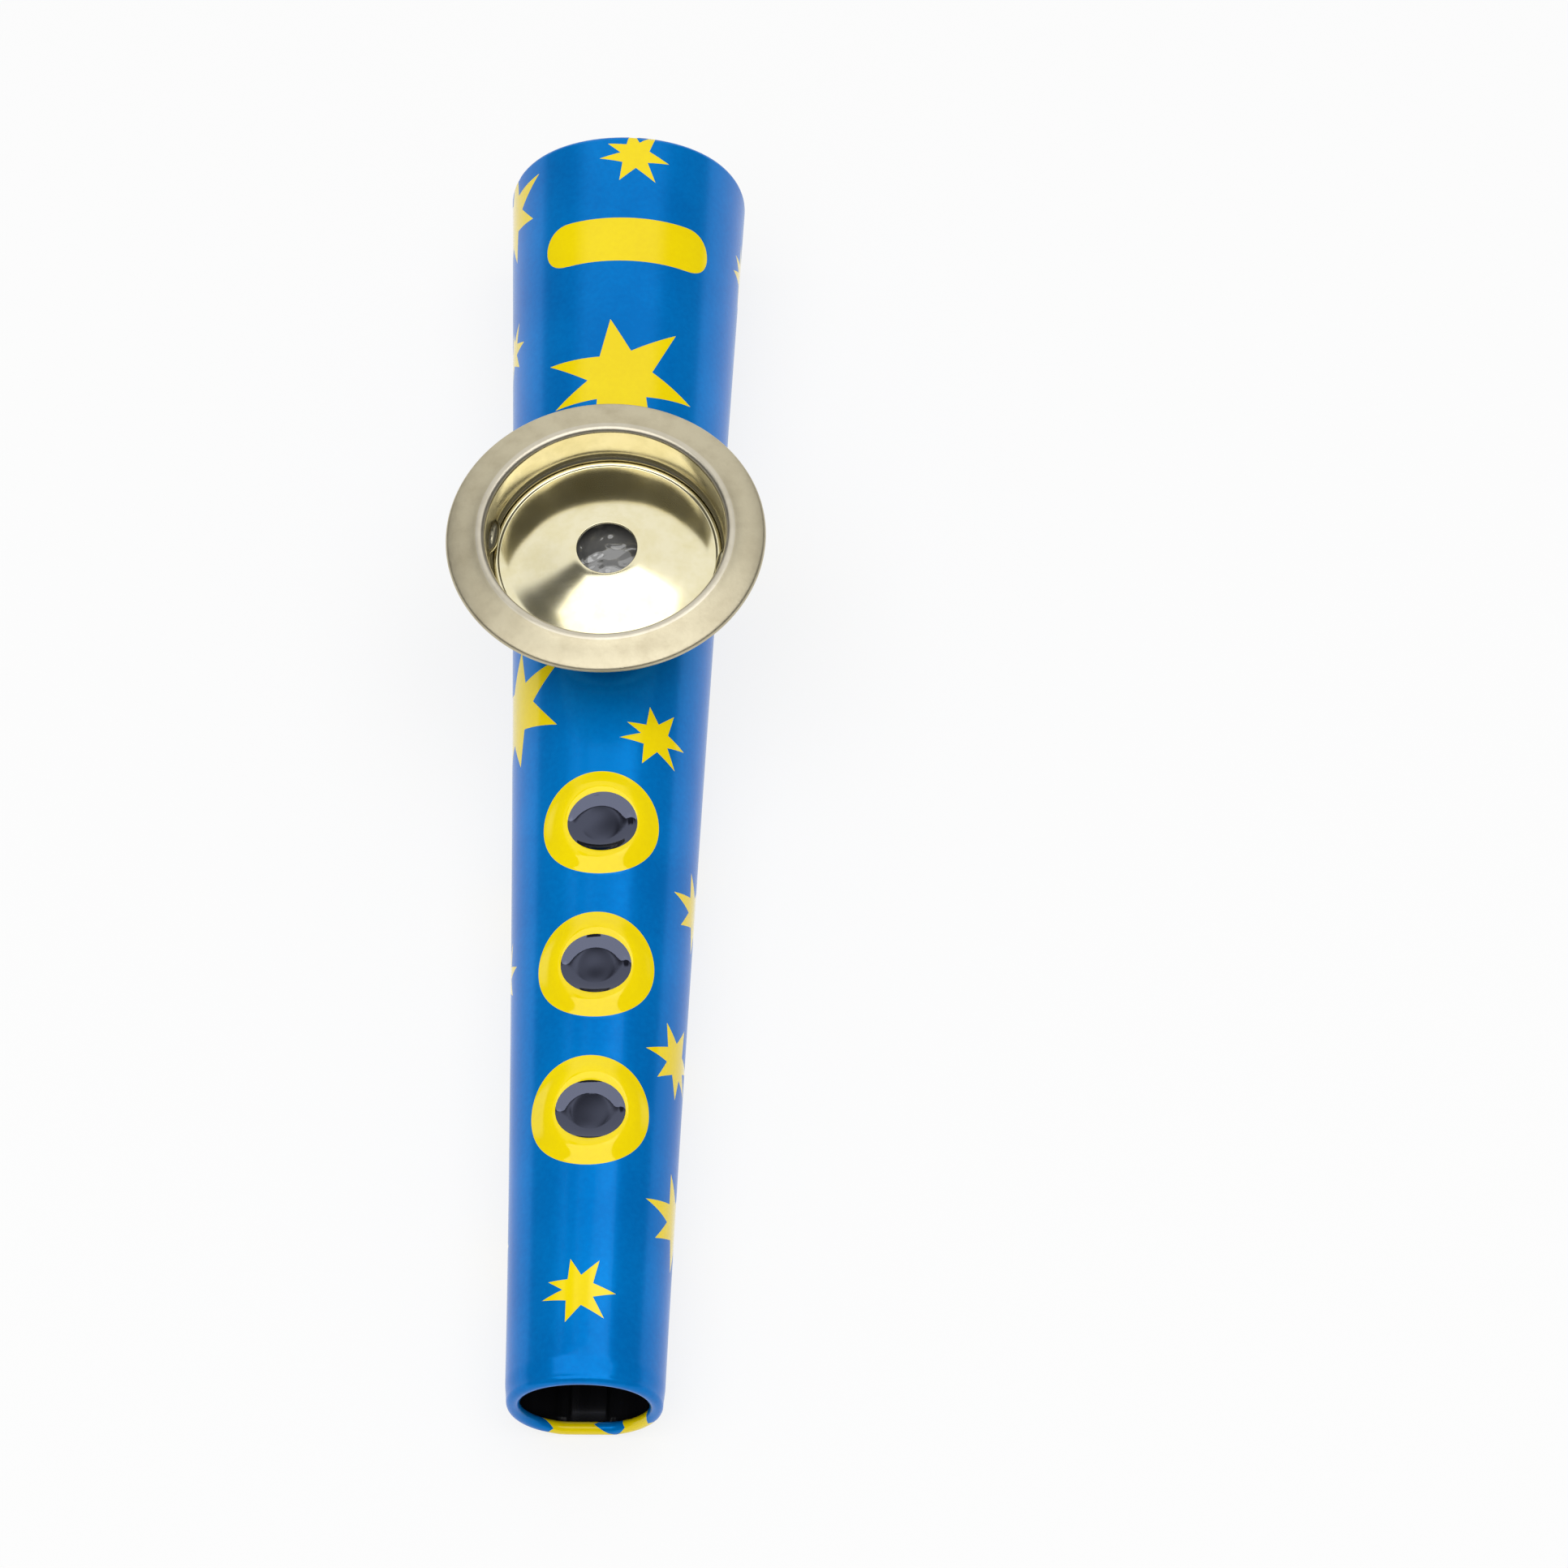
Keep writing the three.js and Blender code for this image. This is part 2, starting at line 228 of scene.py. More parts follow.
def inside_painted_shade():
    """The inside of the rolled sheet: near black as painted shade, with draw marks along its length whose
    lighter streaks are painted reflections.
    """
    material, tree = new_material("inside_painted_shade_tinplate")
    place = add(tree, "ShaderNodeTexCoord")
    drawn = add(tree, "ShaderNodeMapping", {"Scale": [pattern(size) for size in (1.1, 40, 1.1)]},
                {"Vector": (place, "Object")})
    marks = add(tree, "ShaderNodeTexNoise", {"Scale": 1.0, "Detail": 4.0}, {"Vector": (drawn, 0)})
    bump = add(tree, "ShaderNodeBump", {"Strength": 0.6, "Distance": 0.15 * MM},
               {"Height": (marks, "Fac")})
    # Painted shade and reflection: the near black stands in for the shade in the tube, the lighter grey
    # along the marks for the streaks of light it catches
    tone = add(tree, "ShaderNodeMix", {"data_type": "RGBA", 6: linear("#0c0c0d"), 7: linear("#3a3a3e")},
               {0: (marks, "Fac")})
    shader = add(tree, "ShaderNodeBsdfPrincipled", {"Roughness": 0.25, "Metallic": 0.6},
                 {"Base Color": (tone, 2), "Normal": (bump, 0)})
    finish_material(tree, shader)
    return material


def film():
    """Thin smoky plastic film: glossy, a little slack, with a few soft creases, its grey painted lighter on
    the slack's rises and darker in its hollows as light and shade.
    """
    material, tree = new_material("smoky_film_painted_shade")
    place = add(tree, "ShaderNodeTexCoord")
    slack = add(tree, "ShaderNodeTexNoise", {"Scale": pattern(4.2), "Detail": 1.0, "Distortion": 1.6},
                {"Vector": (place, "Object")})
    bump = add(tree, "ShaderNodeBump", {"Strength": 1.0, "Distance": 0.8 * MM},
               {"Height": (slack, "Fac")})
    # Painted light and shade: the grey follows the slack, lighter where it rises and darker in its hollows
    tone = add(tree, "ShaderNodeMix", {"data_type": "RGBA", 6: linear("#626261"), 7: linear("#767573")},
               {0: (slack, "Fac")})
    shader = add(tree, "ShaderNodeBsdfPrincipled",
                 {"Roughness": 0.05, "IOR": 2.0,
                  "Coat Weight": 1.0, "Coat Roughness": 0.03, "Coat IOR": 1.8},
                 {"Base Color": (tone, 2), "Normal": (bump, 0)})
    finish_material(tree, shader)
    return material


def fibre_card():
    """Pressed fibre card: dull brown with short matted fibres."""
    material, tree = new_material("pressed_fibre_card")
    place = add(tree, "ShaderNodeTexCoord")
    fibres = add(tree, "ShaderNodeTexNoise", {"Scale": pattern(0.3), "Detail": 6.0},
                 {"Vector": (place, "Object")})
    tone = add(tree, "ShaderNodeMix", {"data_type": "RGBA", 6: linear("#5a4634"), 7: linear("#7b644c")},
               {0: (fibres, "Fac")})
    bump = add(tree, "ShaderNodeBump", {"Strength": 0.6, "Distance": 0.05 * MM},
               {"Height": (fibres, "Fac")})
    shader = add(tree, "ShaderNodeBsdfPrincipled", {"Roughness": 0.9},
                 {"Base Color": (tone, 2), "Normal": (bump, 0)})
    finish_material(tree, shader)
    return material


BLUE = enamel("blue_litho_enamel", "#007fd2", "#006fc0", 0.22, "#10a0ff", 1.6, 0.07, 0.06, 0.18)
YELLOW = enamel("yellow_litho_enamel", "#fce300", "#f5d900", 0.1, "#ffec90", varnish=0.4, shine=0.05)
BLACK = enamel("black_litho_enamel", "#0b0b12", "#101018", 0.04, "#c8d0f2", 2.08)
# The inside's dark grey is painted shade, and its lighter streaks are painted reflections
SHADED_INSIDE = inside_painted_shade()
SATIN = tinplate("satin_gold_tinplate", "#cac1a6", "#bbb196", 0.42, 0.6, (0.3, 0.3, 0.3))
LIP = tinplate("burnished_gold_tinplate", "#cfc8b6", "#c2baa6", 0.33, 0.3, (0.3, 0.3, 0.3))
WALL = tinplate("drawn_gold_tinplate", "#cdc5a8", "#c0b898", 0.22, 0.01, (0.6, 0.6, 1.5))
BRIGHT = tinplate("bright_gold_tinplate", "#eee6c4", "#e6dcb0", 0.12, 0.02)
FILM = film()
CARD = fibre_card()


# The tube's skin

EDGE = TUBE_LENGTH / 2 - RIM_RADIUS
ROLL = TAU - math.acos(1 - TUBE_SHEET / RIM_RADIUS)


def taper(y):
    """Half the tube's width, half its height if it weren't pressed flat, and how far along it y is."""
    share = np.clip(np.asarray(y, float) / TUBE_LENGTH + 0.5, 0, None)
    across = (EXIT_WIDTH + (MOUTH_WIDTH - EXIT_WIDTH) * share ** WIDTH_TAPER) / 2
    up = (EXIT_HEIGHT + (MOUTH_HEIGHT - EXIT_HEIGHT) * share ** HEIGHT_TAPER) / (2 - FLAT_SHARE)
    return across, up, np.clip(share, 0, 1)


def neck_in(y):
    """How far the tube's top draws in before its rolled rim at the exit end."""
    share = np.clip(1 - (np.asarray(y) + EDGE) / (EXIT_NECK_LENGTH - RIM_RADIUS), 0, 1)
    return EXIT_NECK_DEPTH * share * share * (3 - 2 * share)


DISH_PLACES = np.linspace(0, CREST_RADIUS, 200)
DISH_RISE = np.cumsum(np.tan(np.radians(np.interp(DISH_PLACES, DISH_RADII, DISH_SLOPES)))) * DISH_PLACES[1]


def embossed(x, y):
    """The height that the finger dimples add, each a ring round a steep dish, less the exit's dent."""
    height = 0.0
    for centre, (twist, bump, bump_x, bump_y) in zip(DIMPLES, DISH_FLAWS):
        reach = np.hypot(x, y - centre)
        dish = RING_HEIGHT + np.interp(reach, DISH_PLACES, DISH_RISE) - DISH_RISE[-1]
        fade = np.clip(1 - (reach / CREST_RADIUS) ** 2, 0, 1) ** 2
        pressed = twist * x * (y - centre) + bump * np.exp(
            -((x - bump_x) ** 2 + (y - centre - bump_y) ** 2) / BUMP_REACH ** 2)
        levelled = PAD_FLATNESS * x ** 2 / (1 + (reach / PAD_REACH) ** PAD_SHARPNESS)
        away = np.clip((reach - CREST_RADIUS) / (RING_RADIUS - CREST_RADIUS), 0, 1)
        ring = RING_HEIGHT * np.cos(np.pi / 2 * away ** RING_ROUNDNESS) ** 2
        height = height + np.where(reach < CREST_RADIUS, dish + pressed * fade + levelled, ring)
    dent_x, dent_y, half_wide, half_long, depth = EXIT_DENT
    return height - depth * np.exp(-((x - dent_x) / half_wide) ** 2 - ((y - dent_y) / half_long) ** 2)


def cross_section(y, inset, angle):
    """x and z on the tube's section at y, with the underside pressed flat along a soft corner."""
    across, up, _ = taper(y)
    depth = inset + neck_in(y)
    square = 1 + SQUARENESS * np.sin(2 * angle) ** 2
    x = (across - inset - EXIT_NECK_BESIDE * neck_in(y)) * np.cos(angle) * square
    rise = (up - depth) * np.sin(angle) * square
    floor = up * (1 - FLAT_SHARE)
    flat = depth - floor
    z = floor + (rise + flat + np.sqrt((rise - flat) ** 2 + FLAT_CORNER ** 2)) / 2
    return x, z


ANGLES = np.linspace(np.pi / 2, -np.pi / 2, 721)
UPPER_ANGLES = ANGLES[:361]


def girth_shares(y):
    """Half the girth at y, and the share of it from the crown to each of ANGLES."""
    x, z = cross_section(y, 0.0, ANGLES)
    steps = np.hypot(np.diff(x), np.diff(z))
    run = np.concatenate([[0], np.cumsum(steps)])
    return run[-1], run / run[-1]


EXIT_SHARES = girth_shares(-TUBE_LENGTH / 2 + EXIT_NECK_LENGTH)[1]
MOUTH_SHARES = girth_shares(TUBE_LENGTH / 2)[1]
GIRTH_PLACES = np.linspace(-TUBE_LENGTH / 2, TUBE_LENGTH / 2, 57)
HALF_GIRTHS = np.array([girth_shares(y)[0] for y in GIRTH_PLACES])


def half_girth(y):
    """The way round the tube from its crown to its seam."""
    return np.interp(y, GIRTH_PLACES, HALF_GIRTHS)


def angle_at(share, y):
    """The section angle at a share of the half girth, from the crown down to the seam."""
    mix = taper(y)[2]
    at_exit = np.interp(np.abs(share), EXIT_SHARES, ANGLES)
    at_mouth = np.interp(np.abs(share), MOUTH_SHARES, ANGLES)
    return at_exit + (at_mouth - at_exit) * mix


def share_at(angle, y):
    """The share of the half girth at a section angle."""
    mix = taper(y)[2]
    at_exit = np.interp(-angle, -ANGLES, EXIT_SHARES)
    at_mouth = np.interp(-angle, -ANGLES, MOUTH_SHARES)
    return at_exit + (at_mouth - at_exit) * mix


SHEET_END = EDGE + RIM_RADIUS * ROLL
INNER_END = EDGE + RIM_RADIUS * math.sin(ROLL)


def seam_lift(x, y, inset):
    """The lock seam along the underside: a fine groove outside and a folded strip inside."""
    run_out = np.clip((EDGE - SEAM_FROM_RIM - np.abs(y)) / SEAM_RUN_OUT, 0, 1)
    if inset == 0:
        return SEAM_GROOVE_DEPTH * np.exp(-(x / SEAM_GROOVE_REACH) ** 2) * run_out
    fade = np.clip((SEAM_WIDTH / 2 + SEAM_CORNER / 2 - np.abs(x)) / SEAM_CORNER, 0, 1)
    return SEAM_THICKNESS * fade * fade * (3 - 2 * fade) * run_out


def skin(share, path, inset=0.0):
    """Points of the tube's sheet: share runs round it from the crown, path along it and over its rims."""
    path = np.asarray(path, float)
    over = np.clip((np.abs(path) - EDGE) / RIM_RADIUS, 0, None)
    y = np.sign(path) * (np.minimum(np.abs(path), EDGE) + RIM_RADIUS * np.sin(over))
    depth = inset + RIM_RADIUS * (1 - np.cos(over))
    angle = angle_at(share, y)
    x, z = cross_section(y, depth, angle)
    x = x * np.where(np.asarray(share) < 0, -1, 1)
    lift = np.where(np.abs(share) < 0.5, embossed(x, y), seam_lift(x, y, inset))
    return np.stack([x, y, z + lift], -1)


def skin_normals(share, path, inset=0.0):
    """Normals of the curved sheet itself, from small steps round it and along it."""
    round_step, along_step = 1e-3, 0.02
    across = skin(share + round_step, path, inset) - skin(share - round_step, path, inset)
    along = skin(share, path + along_step, inset) - skin(share, path - along_step, inset)
    normal = np.cross(along, across)
    normal /= np.linalg.norm(normal, axis=-1, keepdims=True) + 1e-12
    return normal


# The print. A motif's place is (round, along): millimetres round the tube from its crown
# towards +X, and millimetres along it from its middle towards the mouth.

WIDE = 30.0                      # the plotting width of half the tube's girth
NOTCH_REACH = 0.43


def plotted(round_mm, path):
    """Millimetres round the tube as plotting units, in which the whole sheet is a rectangle."""
    return np.stack([np.asarray(round_mm) / half_girth(path) * WIDE, np.asarray(path, float)], -1)


def refined(outline, step=0.7):
    """The closed outline with points added, so that no edge is longer than step."""
    points = []
    for a, b in zip(outline, np.roll(outline, -1, axis=0)):
        pieces = max(1, math.ceil(np.hypot(*(b - a)) / step))
        points += [a + (b - a) * i / pieces for i in range(pieces)]
    return np.array(points)


# Each dimple's yellow ring and black dish: how far off the crown, half the width, half the length
RING_PRINTS = [(0.0, 6.0, 5.65), (0.0, 6.0, 5.65), (-0.15, 6.1, 5.75)]
DISH_PRINTS = [(0.2, 3.5, 3.25), (0.05, 3.5, 3.15), (0.0, 3.45, 3.05)]
# The plain label: round, along, width, height
LABEL = (0.8, 57.0, 18.4, 5.3)

# The small stars are one pattern of seven uneven tips, and the large ones are cut a little wider.
# A tip is (its angle clockwise from the mouth's direction, its reach as a share of the star's size).
SMALL_TIPS = [(-12, 0.92), (35, 1.0), (96, 1.0), (141, 1.05), (203, 0.95), (261, 1.02), (292, 0.88)]
LARGE_TIPS = [(-10, 0.9), (44, 1.04), (103, 1.0), (152, 0.9), (200, 0.95), (247, 0.95), (288, 1.04)]

SMALL_STARS = [
    # round, along, size, turn
    (1.3, 67.5, 3.75, 4),
    (5.3, -1.1, 3.65, 0),
    (-0.5, -60.9, 3.6, -3),
    (-15.4, 48.4, 3.4, 0),
    (19.6, 60.2, 4.3, -8),
    (16.8, -70.4, 3.9, 150),
    (-13.4, -24.3, 3.6, 0),
    (30.5, 47.0, 3.9, 24),
    (-23.5, 55.0, 3.8, -30),
    (21.5, -8.0, 3.7, 12),
    (-19.5, -36.0, 3.6, 40),
    (19.0, -31.5, 3.7, -15),
    (25.0, 12.0, 3.6, 33),
    (-26.5, 9.0, 3.7, 80),
]
LARGE_STARS = [
    (0.5, 40.1, 8.0, 0),
    (-16.2, 65.2, 6.6, -35),
    (-11.4, 4.0, 7.5, 17),
    (13.1, -17.5, 4.7, -14),
    (9.8, -34.8, 4.3, -20),
    (11.6, -51.2, 5.5, -12),
    (-21.1, -71.5, 5.4, 2),
    (21.9, 31.5, 7.0, 10),
    (-24.0, 29.5, 7.4, 50),
    (-19.0, -13.0, 6.0, 25),
    (-15.8, -51.5, 5.4, 70),
]


def star(round_mm, path, size, turn, tips):
    """A star's outline, its notches midway between its tips."""
    angles = [tip[0] for tip in tips]
    following = [*angles[1:], angles[0] + 360]
    corners = []
    for (angle, reach), beyond in zip(tips, following):
        corners += [(angle, reach * size), ((angle + beyond) / 2, NOTCH_REACH * size)]
    points = [(reach * math.sin(math.radians(angle + turn)), reach * math.cos(math.radians(angle + turn)))
              for angle, reach in corners]
    outline = refined(np.array(points)) + (round_mm, path)
    return plotted(outline[:, 0], outline[:, 1])


def bar(round_mm, path, width, height):
    """A plain bar with round ends."""
    turns = np.linspace(-np.pi / 2, np.pi / 2, 19)
    bulge, fullness = 0.55, 0.8
    end = np.stack([np.cos(turns) ** fullness * height * bulge, np.sin(turns) * height / 2], -1)
    right = end + (width / 2 - height * bulge, 0)
    outline = refined(np.concatenate([right, -right])) + (round_mm, path)
    return plotted(outline[:, 0], outline[:, 1])


def oval(round_mm, path, half_wide, half_long, count):
    """A closed oval of count points."""
    turns = np.linspace(0, TAU, count, endpoint=False)
    return plotted(round_mm + half_wide * np.cos(turns), path + half_long * np.sin(turns))


def across_seam(outline):
    """The outline, with a copy on the sheet's other edge where it runs over the seam."""
    copies = [outline]
    if outline[:, 0].min() < -WIDE:
        copies.append(outline + (2 * WIDE, 0))
    if outline[:, 0].max() > WIDE:
        copies.append(outline - (2 * WIDE, 0))
    return copies


def printed_outlines():
    """Every yellow outline, and the black ones inside the dimples' rings."""
    stars = [star(*values, SMALL_TIPS) for values in SMALL_STARS]
    stars += [star(*values, LARGE_TIPS) for values in LARGE_STARS]
    rings = [oval(at, y, *half, 96) for (at, *half), y in zip(RING_PRINTS, DIMPLES)]
    dishes = [oval(at, y, *half, 72) for (at, *half), y in zip(DISH_PRINTS, DIMPLES)]
    yellow = [*rings, *stars, bar(*LABEL)]
    return [copy for outline in yellow for copy in across_seam(outline)], dishes


def inside(points, outline):
    """Which points lie in a closed outline."""
    x, y = points[:, 0], points[:, 1]
    within = np.zeros(len(points), bool)
    for a, b in zip(outline, np.roll(outline, -1, axis=0)):
        if a[1] == b[1]:
            continue
        crosses = (a[1] > y) != (b[1] > y)
        within ^= crosses & (x < (b[0] - a[0]) * (y - a[1]) / (b[1] - a[1]) + a[0])
    return within


def neck_outline(radius, inset, count=72):
    """The neck's circle, seen from above, as plotting points on the sheet."""
    turns = np.linspace(0, TAU, count, endpoint=False)
    x, y = radius * np.cos(turns), CUP_Y + radius * np.sin(turns)
    points = []
    for at_x, at_y in zip(x, y):
        across_x = cross_section(at_y, inset, UPPER_ANGLES)[0]
        angle = np.interp(abs(at_x), across_x, UPPER_ANGLES)
        points.append((math.copysign(share_at(angle, at_y), at_x) * WIDE, at_y))
    return np.array(points)


def path_rows(coarse):
    """Where the sheet's rows of points lie along it, close together over the rims."""
    rim = np.linspace(EDGE, SHEET_END, 22)
    neck = np.arange(-EDGE, -EDGE + EXIT_NECK_LENGTH, 0.4)[1:]
    plain = np.linspace(-EDGE + EXIT_NECK_LENGTH, EDGE, int(TUBE_LENGTH / coarse))[:-1]
    return np.concatenate([-rim[::-1], neck, plain, rim])


def columns(count, seam_places):
    """Places round the sheet, close together beside the seam."""
    plain = np.linspace(-WIDE, WIDE, count)
    plain = plain[np.abs(plain) < WIDE - max(seam_places) - 0.2]
    beside = WIDE - np.array(sorted(seam_places))
    return np.sort(np.concatenate([plain, beside, -beside]))


def border(rows, across):
    """The sheet's outline through the rows' and the columns' ends."""
    return np.concatenate([
        [(across[0], y) for y in rows],
        [(x, rows[-1]) for x in across[1:]],
        [(across[-1], y) for y in rows[-2::-1]],
        [(x, rows[0]) for x in across[-2:0:-1]],
    ])


def sheet_points(rows, across, keep_off, clearance):
    """A grid inside the sheet's border, without the points that lie close to an outline."""
    grid = np.array([(x, y) for y in rows[1:-1] for x in across[1:-1]])
    near = np.zeros(len(grid), bool)
    for outline in keep_off:
        low, high = outline.min(0) - clearance, outline.max(0) + clearance
        some = np.where(((grid > low) & (grid < high)).all(1))[0]
        if len(some):
            gaps = np.linalg.norm(grid[some, None] - outline[None], axis=2).min(1)
            near[some] |= gaps < clearance
    return grid[~near]


def triangulated(points, outlines):
    """Triangles over the points that keep every outline's edges."""
    vertices = [Vector(p) for p in points]
    edges = []
    for outline in outlines:
        first = len(vertices)
        vertices += [Vector(p) for p in outline]
        edges += [(first + i, first + (i + 1) % len(outline)) for i in range(len(outline))]
    result = delaunay_2d_cdt(vertices, edges, [], 0, 1e-5)
    return np.array([tuple(v) for v in result[0]]), np.array([tuple(f) for f in result[2]])


def mesh_object(name, vertices, faces, materials, face_material=None, normals=None):
    """A smooth-shaded object from points in millimetres."""
    mesh = bpy.data.meshes.new(name)
    mesh.from_pydata([tuple(v) for v in np.asarray(vertices) * MM], [], [tuple(map(int, f)) for f in faces])
    for material in materials:
        mesh.materials.append(material)
    if face_material is not None:
        mesh.polygons.foreach_set("material_index", np.asarray(face_material, np.int32))
    mesh.polygons.foreach_set("use_smooth", np.ones(len(mesh.polygons), bool))
    mesh.update()
    if normals is not None:
        mesh.normals_split_custom_set_from_vertices([tuple(n) for n in normals])
    thing = bpy.data.objects.new(name, mesh)
    bpy.context.collection.objects.link(thing)
    return thing


# The neck's soft foot, how finely it is turned and how many of its rows, from the foot, have ink
NECK_FILLET, NECK_STEPS, NECK_INKED = 0.8, 96, 10
# The faces' materials: the three inks, and the bare sheet inside, painted dark as shade
INK_BLUE, INK_YELLOW, INK_BLACK, BARE_SHADED_INSIDE = range(4)
# The turn of the rims' roll, in radians, past which the sheet has no ink and takes the inside's painted
# shade
INKED_TURN = 4.3
# How finely the tube is divided: rows and columns over all, and close rings of points at the dimples
ROW_STEP, SKIN_COLUMNS, INNER_ROWS = 0.95, 97, 120
FINE_REACH, FINE_STEP, FINE_SPACING = 6.6, 0.27, 0.38
# How far the points keep from the outlines that the triangles have to follow
GRID_GAP, FINE_GAP, INNER_GAP = 0.3, 0.13, 0.1
SEAM_BESIDE = [0.0, 0.07, 0.14, 0.22, 0.32, 0.5, 0.8]
SEAM_WITHIN = [0.0, 0.5, 1.0, 1.5, 1.75, 1.95, 2.1, 2.3, 2.5, 2.8, 3.2]


def tube_outer():
    """The printed outside: points, faces, each face's material and the points' normals."""
    yellow, black = printed_outlines()
    hole = neck_outline(NECK_OUTER + NECK_FILLET, 0.0, NECK_STEPS)
    rows, across = path_rows(ROW_STEP), columns(SKIN_COLUMNS, SEAM_BESIDE)
    edge = border(rows, across)
    grid = sheet_points(rows, across, [*yellow, *black, hole], GRID_GAP)
    fine = []
    cleared = FINE_REACH + 0.2
    for y in DIMPLES:
        grid = grid[~inside(grid, oval(0, y, cleared, cleared, 90))]
        for reach in np.arange(0.0, FINE_REACH, FINE_STEP):
            count = max(1, int(TAU * reach / FINE_SPACING))
            fine.append(oval(0, y, max(reach, 1e-3), max(reach, 1e-3), count))
    fine = np.concatenate(fine)
    for outline in [*yellow, *black]:
        fine = fine[np.linalg.norm(fine[:, None] - outline[None], axis=2).min(1) > FINE_GAP]
    places, faces = triangulated(np.concatenate([grid, fine]), [edge, *yellow, *black, hole])
    centres = places[faces].mean(1)
    kept = ~inside(centres, hole) & inside(centres, edge)
    faces, centres = faces[kept], centres[kept]
    ink = np.full(len(faces), INK_BLUE)
    for outline in yellow:
        ink[inside(centres, outline)] = INK_YELLOW
    for outline in black:
        ink[inside(centres, outline)] = INK_BLACK
    ink[np.abs(centres[:, 1]) > EDGE + RIM_RADIUS * INKED_TURN] = BARE_SHADED_INSIDE
    share, path = places[:, 0] / WIDE, places[:, 1]
    return skin(share, path), faces[:, ::-1], ink, skin_normals(share, path)


def tube_inner():
    """The inside of the sheet, painted dark as shade, with the folded seam along its floor."""
    hole = neck_outline(NECK_BORE, TUBE_SHEET, NECK_STEPS)
    rows, plain = np.linspace(-INNER_END, INNER_END, INNER_ROWS), columns(SKIN_COLUMNS, SEAM_BESIDE)
    folds = [(WIDE - a, a - WIDE) for a in SEAM_WITHIN]
    across = np.unique(np.concatenate([plain, *folds]).round(6))
    edge = border(rows, plain)
    grid = sheet_points(rows, across, [hole, edge], INNER_GAP)
    places, faces = triangulated(grid, [edge, hole])
    centres = places[faces].mean(1)
    faces = faces[~inside(centres, hole) & inside(centres, edge)]
    share, path = places[:, 0] / WIDE, places[:, 1]
    points = skin(share, path, TUBE_SHEET)
    return points, faces, np.full(len(faces), BARE_SHADED_INSIDE), -skin_normals(share, path, TUBE_SHEET)


def tube_neck():
    """The neck drawn up out of the crown, its flare over the cup's floor and its bore."""
    turns = np.linspace(0, TAU, NECK_STEPS, endpoint=False)
    around = np.stack([np.cos(turns), np.sin(turns)], -1)

    def crown(radius, inset):
        outline = neck_outline(radius, inset, NECK_STEPS)
        return skin(outline[:, 0] / WIDE, outline[:, 1], inset)[:, 2]

    rows = []
    foot, corner = crown(NECK_OUTER + NECK_FILLET, 0.0), crown(NECK_OUTER, 0.0)
    for t in np.linspace(0, 1, 9):
        radius = NECK_OUTER + NECK_FILLET * (1 - t) ** 2
        height = foot * (1 - t) ** 2 + corner * 2 * t * (1 - t) + (corner + NECK_FILLET) * t ** 2
        rows.append((np.full(NECK_STEPS, radius), height))
    flare_top = FLOOR_TOP + FLARE_THICKNESS
    for radius, height in [(NECK_OUTER, FLOOR_UNDER), (NECK_OUTER, FLOOR_TOP - 0.1),
                           (NECK_OUTER + 0.1, FLOOR_TOP), (FLARE_OUTER, FLOOR_TOP),
                           (FLARE_OUTER, flare_top), (NECK_BORE + 0.35, flare_top),
                           (NECK_BORE + 0.1, flare_top - 0.1), (NECK_BORE, flare_top - 0.35)]:
        rows.append((np.full(NECK_STEPS, radius), np.full(NECK_STEPS, height)))
    rows.append((np.full(NECK_STEPS, NECK_BORE), crown(NECK_BORE, TUBE_SHEET)))
    points = np.concatenate([
        np.stack([radius * around[:, 0], CUP_Y + radius * around[:, 1], height], -1)
        for radius, height in rows
    ])
    faces, ink = [], []
    for i in range(len(rows) - 1):
        for j in range(NECK_STEPS):
            beside = (j + 1) % NECK_STEPS
            a, b = i * NECK_STEPS + j, i * NECK_STEPS + beside
            c, d = b + NECK_STEPS, a + NECK_STEPS
            faces += [(a, b, c), (a, c, d)]
            # Rows past the inked ones take the inside's painted shade
            ink += [INK_BLUE if i < NECK_INKED else BARE_SHADED_INSIDE] * 2
    return points, np.array(faces), np.array(ink)


def build_tube():
    """The rolled and printed sheet: its outside, its inside and the neck, joined at their edges."""
    outer, inner, neck = tube_outer(), tube_inner(), tube_neck()
    firsts = [0, len(outer[0]), len(outer[0]) + len(inner[0])]
    vertices = np.concatenate([outer[0], inner[0], neck[0]])
    faces = np.concatenate([piece[1] + first for piece, first in zip((outer, inner, neck), firsts)])
    ink = np.concatenate([outer[2], inner[2], neck[2]])
    normals = np.concatenate([outer[3], inner[3], neck_normals(*neck[:2])])
    vertices, faces, ink, normals = welded(vertices, faces, ink, normals)
    # The fourth material is the inside's painted shade
    tube = mesh_object("printed_tube", vertices, faces, [BLUE, YELLOW, BLACK, SHADED_INSIDE], ink, normals)
    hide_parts("body_tube")
    return tube


def neck_normals(points, faces):
    """Smooth normals at the neck's points, from its faces."""
    corners = points[faces]
    flat = np.cross(corners[:, 1] - corners[:, 0], corners[:, 2] - corners[:, 0])
    normals = np.zeros_like(points)
    for i in range(3):
        np.add.at(normals, faces[:, i], flat)
    return normals / (np.linalg.norm(normals, axis=1, keepdims=True) + 1e-12)


def welded(vertices, faces, ink, normals):
    """The mesh with the points that coincide joined, and without the faces that this closes up."""
    keys = np.round(vertices, 3)
    first, place = np.unique(keys, axis=0, return_index=True, return_inverse=True)[1:]
    place = place.reshape(-1)
    joined = np.zeros((len(first), 3))
    np.add.at(joined, place, normals)
    joined /= np.linalg.norm(joined, axis=1, keepdims=True) + 1e-12
    faces = place[faces]
    whole = (faces[:, 0] != faces[:, 1]) & (faces[:, 1] != faces[:, 2]) & (faces[:, 2] != faces[:, 0])
    return vertices[first], faces[whole], ink[whole], joined


# Turned and pressed pieces

